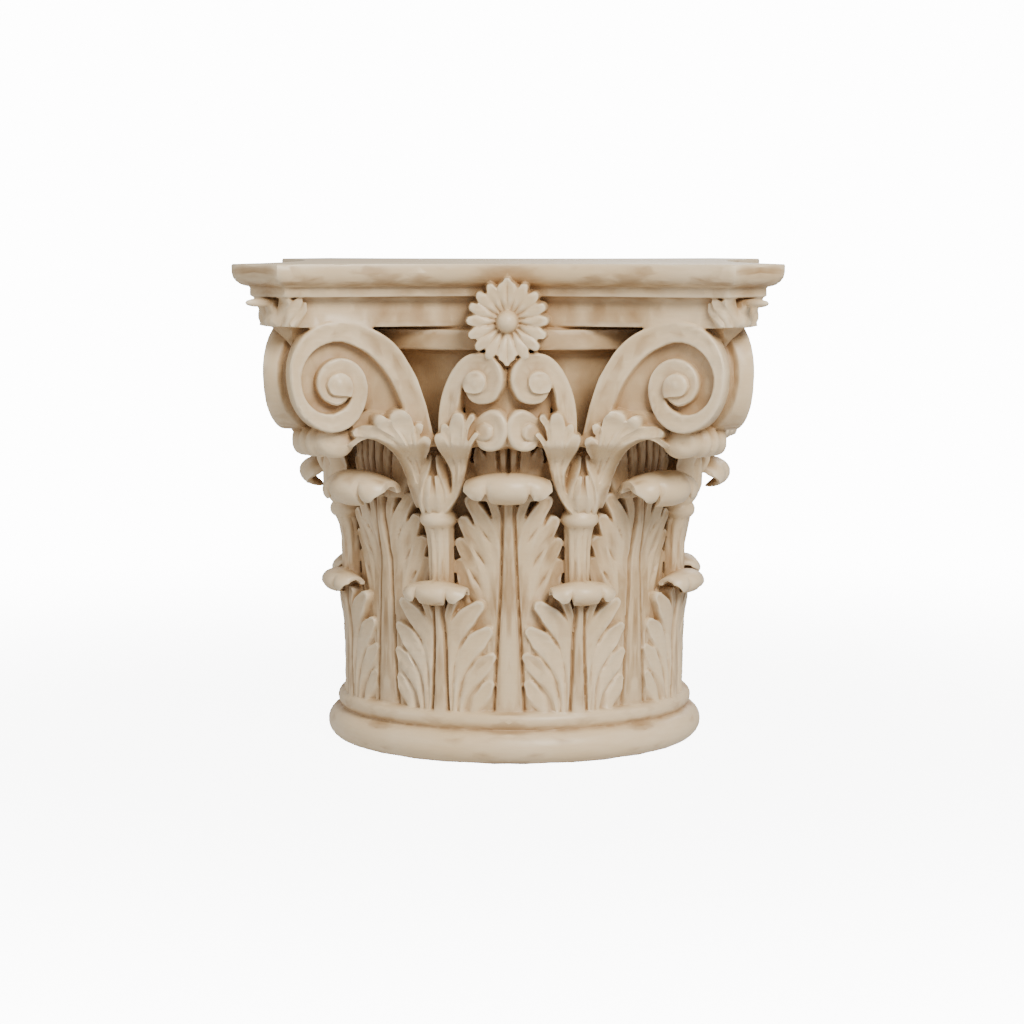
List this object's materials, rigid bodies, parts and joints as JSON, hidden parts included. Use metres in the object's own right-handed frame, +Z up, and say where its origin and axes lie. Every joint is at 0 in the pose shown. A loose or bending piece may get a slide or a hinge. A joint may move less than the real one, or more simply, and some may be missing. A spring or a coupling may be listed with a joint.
{
  "type": "corinthian capital",
  "caption": "Round-shaft corinthian capital with two tiers of carved leaves, corner scrolls, small paired scrolls and a concave-sided abacus with a flower on each face.",
  "frame": {"origin": "centre of the round underside, where the capital sits on the shaft", "axes": "+Z up along the column's axis, -Y towards the face seen in the picture, +X to the right of that face"},
  "size_m": [0.3986, 0.3986, 0.37],
  "materials": {
    "stone": "smooth cream cast stone with a soft sheen, brown glaze left in the hollows and rubbed off the high edges"
  },
  "bodies": {
    "root": {"capital": "stone"}
  },
  "joints": []
}
